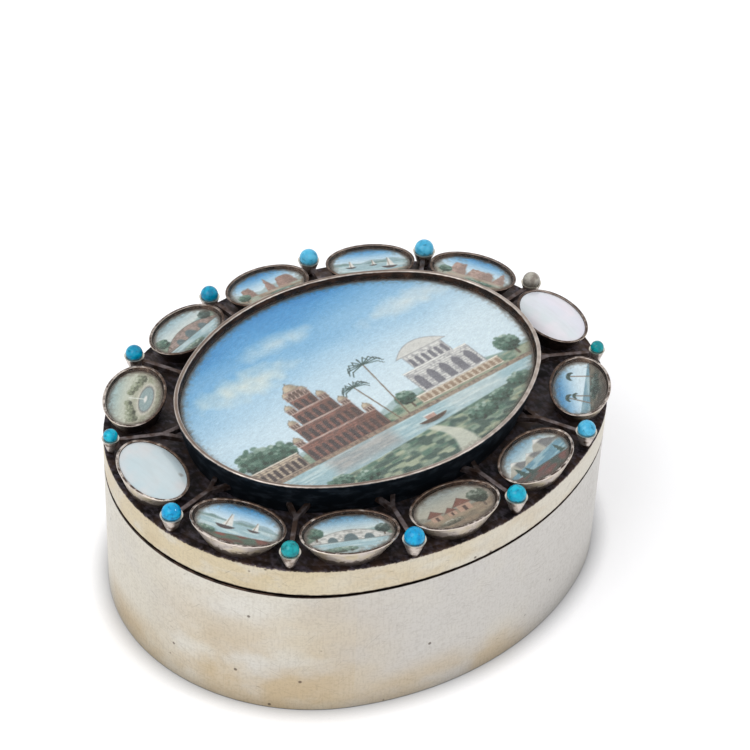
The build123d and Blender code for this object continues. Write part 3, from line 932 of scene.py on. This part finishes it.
def mountain_lake(picture):
    """Small view of grey mountains over a lake, with firs on a red shore."""
    picture.sky((88, 148, 190), MILK_SKY, 0, 3.2)
    for middle, half_width, rise in ((-3.0, 2.6, 1.8), (2.6, 3.0, 2.3), (-0.2, 2.2, 1.3)):
        peak = picture.gable(middle, 0, half_width, rise) + 0.25 * (picture.mottle(0.5) - 0.5)
        picture.lay(peak, GREY_WASH)
        picture.lay(np.minimum(peak, picture.across - middle), (104, 106, 114), edge=0.5, strength=0.8)
        picture.lay(np.minimum(peak, picture.up - 0.7 * rise), MARBLE, edge=0.3)
    picture.water(0, -3.8, (104, 148, 172), (176, 200, 210))
    picture.ground(-1.5, ((112, 70, 70), (88, 66, 64), LEAF_DARK), slope=-0.15)
    for across, foot, height in ((-3.6, -1.4, 2.2), (-2.5, -1.7, 1.7), (3.5, -2.1, 1.9)):
        for level in (0.1, 0.35, 0.6):
            tier = picture.gable(across, foot + level * height, 0.3 * height * (1.2 - level), 0.4 * height)
            picture.lay(tier, LEAF_DARK)


def palm_shore(picture):
    """Small view of tall palms on a dark shore."""
    picture.sky((66, 138, 194), PALE_SKY, -0.5, 2.8, lean=0.08)
    picture.water(-0.6, -2.2, (112, 150, 172), (190, 208, 216))
    picture.ground(-1.4, ((84, 84, 78), LEAF_DARK, (122, 116, 106), (48, 46, 46)), slope=0.1)
    for across, height, lean in ((-2.8, 3.0, 0.5), (-1.3, 2.2, -0.4), (2.9, 3.3, -0.7)):
        picture.palm(across, -1.7, height, lean, LEAF_DARK)
    picture.foliage(0.8, -1.9, 2.6, 0.5, LEAF_DARK, dabs=90)


def garden_pool(picture):
    """Small grey view of a round garden pool with a jet of water, between clipped hedges."""
    hedge = (138, 146, 124)
    picture.sky((140, 176, 192), (196, 200, 190), 0.6, 3.4)
    picture.ground(0.4, ((180, 180, 168), (152, 156, 138)))
    for side in (-1, 1):
        for step in range(4):
            size = 0.45 + 0.1 * step
            picture.foliage(side * (1.1 + 0.95 * step), 0.7 - 0.3 * step, size, size, hedge, dabs=60)
    pool = picture.disc(0, -1.5, 2.6, 0.9)
    picture.lay(pool + 0.25, (198, 196, 188))
    picture.lay(pool, (146, 166, 172))
    picture.outline(pool, (96, 92, 96))
    picture.stroke((0, -1.4), (0, 0.7), 0.14, (232, 236, 236))
    picture.lay(picture.disc(0, -1.4, 0.7, 0.2), MARBLE)


def panel_top(node):
    """Outline of a panel's top face: its height, middle, long direction and reach by direction."""
    points = np.array([vertex.co for vertex in nodes[node].data.vertices])
    top = points[:, 2].max()
    rim = points[points[:, 2] > top - 0.01 * MM][:, :2]
    middle = (rim.min(axis=0) + rim.max(axis=0)) / 2
    arms = rim - middle
    reach = np.hypot(*arms.T)
    turns = np.arctan2(arms[:, 1], arms[:, 0])
    order = np.argsort(turns)
    return top, middle, arms[reach.argmax()] / reach.max(), turns[order], reach[order]


def painted_panel(node, name, cells, upward, view, seed, details=()):
    """Puts a painted panel of the same size in a picture's place, with a view and its details.

    Upward is 1 where the picture's top is away from the box's middle, and -1 where it is
    towards it, or the picture's own up direction."""
    top, middle, long_way, turns, reach = panel_top(node)
    if isinstance(upward, tuple):
        up_way = np.array(upward, float)
    else:
        up_way = np.array([-long_way[1], long_way[0]])
        up_way *= upward * np.sign(up_way @ middle)
    right_way = np.array([up_way[1], -up_way[0]])
    steps = np.linspace(-1, 1, cells + 1)
    square_x, square_y = (grid.ravel() for grid in np.meshgrid(steps, steps))
    disc_x = square_x * np.sqrt(1 - square_y**2 / 2)
    disc_y = square_y * np.sqrt(1 - square_x**2 / 2)
    radius = np.interp(np.arctan2(disc_y, disc_x), turns, reach, period=2 * math.pi)
    top -= GLASS_GAP
    flat = middle + np.stack([disc_x, disc_y], axis=1) * radius[:, None]
    picture = Picture(*((flat - middle) @ np.stack([right_way, up_way], axis=1) / MM).T, seed)
    view(picture, *details)
    edge_dirt_and_shade(picture, np.hypot(disc_x, disc_y), radius / MM)
    panel_mesh(node, name, cells, flat, top, picture.finish())


def edge_dirt_and_shade(picture, share, radius):
    """Brown dirt that has crept in round a picture's edge, together with painted shade cast by the wall round
    it.
    """
    gap = (1 - share) * radius
    picture.lay(0.35 * picture.mottle(0.6) + 0.1 - gap, DARK_DIRT_AND_SHADE, edge=0.5, strength=0.85)
    picture.lay(1.1 * picture.mottle(0.3) - gap, PALE_DIRT_AND_SHADE, edge=1.0, strength=0.4)


def panel_mesh(node, name, cells, flat, top, colours):
    """Closed slab with the painted grid as its top face."""
    low = min(corner[2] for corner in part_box(node))
    row = cells + 1
    index = np.arange(row * row).reshape(row, row)
    faces = np.stack([index[:-1, :-1], index[:-1, 1:], index[1:, 1:], index[1:, :-1]], axis=-1).reshape(-1, 4)
    loop = np.concatenate([index[0, :-1], index[:-1, -1], index[-1, :0:-1], index[:0:-1, 0]])
    under = len(flat) + np.arange(len(loop))
    sides = np.stack([under, np.roll(under, -1), np.roll(loop, -1), loop], axis=1)
    points = np.vstack([np.c_[flat, np.full(len(flat), top)], np.c_[flat[loop], np.full(len(loop), low)]])
    mesh = bpy.data.meshes.new(name)
    mesh.from_pydata(points.tolist(), [], [*faces.tolist(), *sides.tolist(), under[::-1].tolist()])
    attribute = mesh.color_attributes.new("paint", "FLOAT_COLOR", "POINT")
    paint = np.vstack([colours, colours[loop]])
    attribute.data.foreach_set("color", np.c_[paint, np.ones(len(paint))].ravel())
    mesh.materials.append(painted_surface)
    panel = bpy.data.objects.new(name, mesh)
    bpy.context.collection.objects.link(panel)
    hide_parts(node)
    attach(panel, "lid")


def paint_material():
    """Matt paint in the colours laid on the panel, with fine brush grain."""
    surface = Surface("painted_surface", Roughness=0.5)
    paint = surface.node("VertexColor", layer_name="paint").outputs["Color"]
    grain = surface.patches(0.18, 0.35, 0.75, stretch=(1, 3, 1), detail=3)
    return surface.finished(surface.over(paint, grain, 0.05, GRAIN_GREY), grain, 0.001)


add_camera()
add_world()
add_floor()
add_lamp("key", KEY_PLACE, KEY_SIZE, KEY_STRENGTH)
add_lamp("fill", FILL_PLACE, FILL_SIZE, FILL_STRENGTH)

settings = [name for name in nodes if name.startswith("setting_") and name[-1].isdigit()]
small_glasses = [name for name in nodes if name.startswith("small_glass_")]
dress(wall_silver(), "body_wall", "base_plate")
dress(inside_silver(), "body_collar")
dress(band_silver_gilt(), "lid_band")
dress(tarnished_plate(), "lid_plate")
dress(frame_silver(), "picture_frame")
for setting in settings:
    dress(setting_silver(setting), setting)
dress(cup_silver(), "bead_cups")
dress(wire_silver(), "brace_wires")
dress(packing_card(), "centre_packing", "setting_packings")
dress(clear_glass(), "centre_glass", *small_glasses)
shell_stains = (((-28.9, 0.3), 0.5), ((-28.0, -1.5), 0.4))
dress(shell_pearl("shell_lilac", *LILAC_SHELL), "shell_01")
dress(shell_pearl("shell_green", *GREEN_SHELL, shell_stains), "shell_07")

bead_stones = (
    (LIGHT_BLUE_STONE, ("02", "03", "11")),
    (TEAL_STONE, ("04", "05")),
    (CYAN_STONE, ("06", "10")),
    (BLUE_STONE, ("07", "09")),
    (GREEN_STONE, ("08", "12")),
)
for (colour, shade), numbers in bead_stones:
    for number in numbers:
        dress(bead_stone(f"bead_{number}_stone", colour, shade), f"bead_{number}")
dress(bead_stone("bead_01_stone", *GREY_STONE, shade_height=1.3), "bead_01")

painted_surface = paint_material()
painted_panel("centre_picture", "large_painting", LARGE_CELLS, (0, 1), river_palace, 1)
wide_rocks = ((-2.2, 1.4, 1.5), (1.2, 2.0, 1.0), (4.0, 0.9, 1.7))
paired_rocks = ((-3.0, 1.1, 1.1), (0.4, 0.8, 1.9), (3.0, 1.6, 1.3))
near_boats = ((-1.4, -0.9, 2.2), (2.2, -0.4, 1.4))
far_boats = ((-2.8, -0.5, 1.3), (0.4, -0.3, 1.0), (2.6, -1.0, 1.9))
small_views = {
    "02": (1, table_rocks, (lighter(PINK_STONE, 0.15), wide_rocks)),
    "03": (1, sailing_lake, (lighter(EARTH, 0.3), far_boats)),
    "04": (1, table_rocks, (PINK_STONE, paired_rocks)),
    "05": (1, stone_bridge, ((176, 156, 152), (140, 176, 196))),
    "06": (1, garden_pool, ()),
    "08": (-1, sailing_lake, (ROOF_RED, near_boats)),
    "09": (-1, stone_bridge, (MARBLE, (84, 152, 204))),
    "10": (-1, thatched_village, ()),
    "11": (-1, mountain_lake, ()),
    "12": (-1, palm_shore, ()),
}
for number, (upward, view, details) in small_views.items():
    node = f"small_picture_{number}"
    painted_panel(node, f"small_painting_{number}", SMALL_CELLS, upward, view, int(number), details)

bpy.context.scene.view_settings.view_transform = "Standard"
